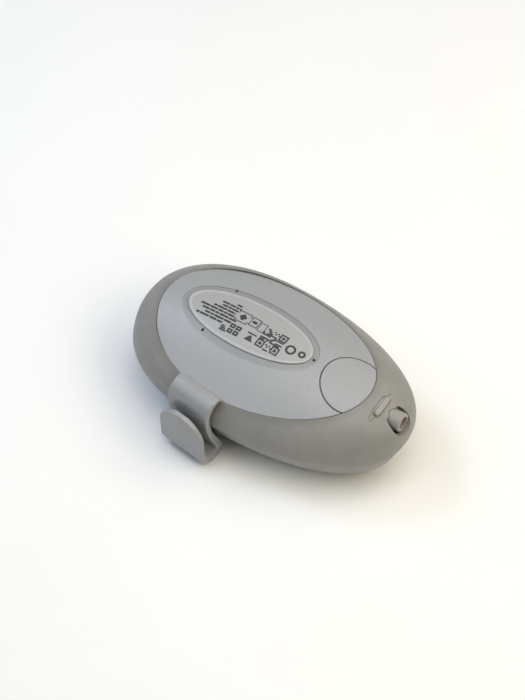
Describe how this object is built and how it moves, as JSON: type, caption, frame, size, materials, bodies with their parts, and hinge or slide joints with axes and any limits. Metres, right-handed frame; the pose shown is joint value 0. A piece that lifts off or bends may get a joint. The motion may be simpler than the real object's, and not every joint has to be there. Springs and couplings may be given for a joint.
{
  "type": "wearable air pump hub",
  "caption": "Palm-size oval air pump hub with domed back plate, garment clip, tube port, covered charging port and front control buttons.",
  "frame": {"origin": "centre of the flat front face that the hub rests on", "axes": "+Z out of the domed back plate, +X along the length towards the end with the ports, -Y towards the garment clip"},
  "size_m": [0.118, 0.0787, 0.0401],
  "materials": {
    "rim_soft": "fine matte soft-touch",
    "cover_grey": "satin moulded",
    "gasket_dark": "matte",
    "plate_grey": "cool grey satin",
    "label_grey": "cool grey satin",
    "inner_plastic": "moulded",
    "foam_dark": "open cell foam",
    "clip_grey": "cool grey satin",
    "port_grey": "satin",
    "steel": "plain",
    "board_green": "solder mask",
    "flap_soft": "soft matte",
    "button_soft": "soft matte",
    "membrane": "translucent silicone",
    "light_pipe": "frosted",
    "pouch": "laminate",
    "motor_can": "plain",
    "hose_clear": "translucent silicone"
  },
  "bodies": {
    "hub": {"mid_shell": "rim_soft", "front_cover": "cover_grey", "seam_gasket": "gasket_dark", "back_plate": "plate_grey", "label_insert": "label_grey", "filter_cup": "inner_plastic", "filter_pad": "foam_dark", "tube_port": "port_grey", "port_o_ring": "gasket_dark", "usb_receptacle": "steel", "port_board": "board_green", "keypad_membrane": "membrane", "light_pipes": "light_pipe", "main_board": "board_green", "chassis": "inner_plastic", "case_screws": "steel", "battery_pouch": "pouch", "battery_foam": "foam_dark", "pump_motor": "motor_can", "pump_housing": "inner_plastic", "air_hose": "hose_clear", "valve_body": "motor_can", "pressure_sensor": "inner_plastic"},
    "power_button": {"power_button": "button_soft"},
    "minus_button": {"minus_button": "button_soft"},
    "play_button": {"play_button": "button_soft"},
    "plus_button": {"plus_button": "button_soft"},
    "mode_button": {"mode_button": "button_soft"},
    "garment_clip": {"garment_clip": "clip_grey"},
    "access_cover": {"access_cover": "plate_grey"},
    "port_flap": {"port_flap": "flap_soft"},
    "pump_rotor": {"pump_rotor": "steel"},
    "valve_plunger": {"valve_plunger": "steel"}
  },
  "joints": [
    {"name": "power_button_press", "type": "slide", "parent": "hub", "child": "power_button", "axis": [0, 0, 1], "range_m": [0, 0.0005], "stiffness_N_per_m": 1500, "springref_m": -0.0004},
    {"name": "minus_button_press", "type": "slide", "parent": "hub", "child": "minus_button", "axis": [0, 0, 1], "range_m": [0, 0.0005], "stiffness_N_per_m": 1500, "springref_m": -0.0004},
    {"name": "play_button_press", "type": "slide", "parent": "hub", "child": "play_button", "axis": [0, 0, 1], "range_m": [0, 0.0005], "stiffness_N_per_m": 1500, "springref_m": -0.0004},
    {"name": "plus_button_press", "type": "slide", "parent": "hub", "child": "plus_button", "axis": [0, 0, 1], "range_m": [0, 0.0005], "stiffness_N_per_m": 1500, "springref_m": -0.0004},
    {"name": "mode_button_press", "type": "slide", "parent": "hub", "child": "mode_button", "axis": [0, 0, 1], "range_m": [0, 0.0005], "stiffness_N_per_m": 1500, "springref_m": -0.0004},
    {"name": "clip_release", "type": "slide", "parent": "hub", "child": "garment_clip", "axis": [-0.0872, -0.9962, 0], "range_m": [0, 0.012]},
    {"name": "access_cover_lift", "type": "slide", "parent": "hub", "child": "access_cover", "axis": [0, 0, 1], "range_m": [0, 0.012]},
    {"name": "port_flap_pull", "type": "slide", "parent": "hub", "child": "port_flap", "axis": [0.5299, 0, 0.848], "range_m": [0, 0.006]},
    {"name": "pump_rotor_spin", "type": "hinge", "parent": "hub", "child": "pump_rotor", "pos_m": [0.028, 0.006, 0.025], "axis": [1, 0, 0], "continuous": true},
    {"name": "valve_plunger_pull", "type": "slide", "parent": "hub", "child": "valve_plunger", "axis": [0, 0, -1], "range_m": [0, 0.001], "stiffness_N_per_m": 300, "springref_m": -0.0005}
  ]
}
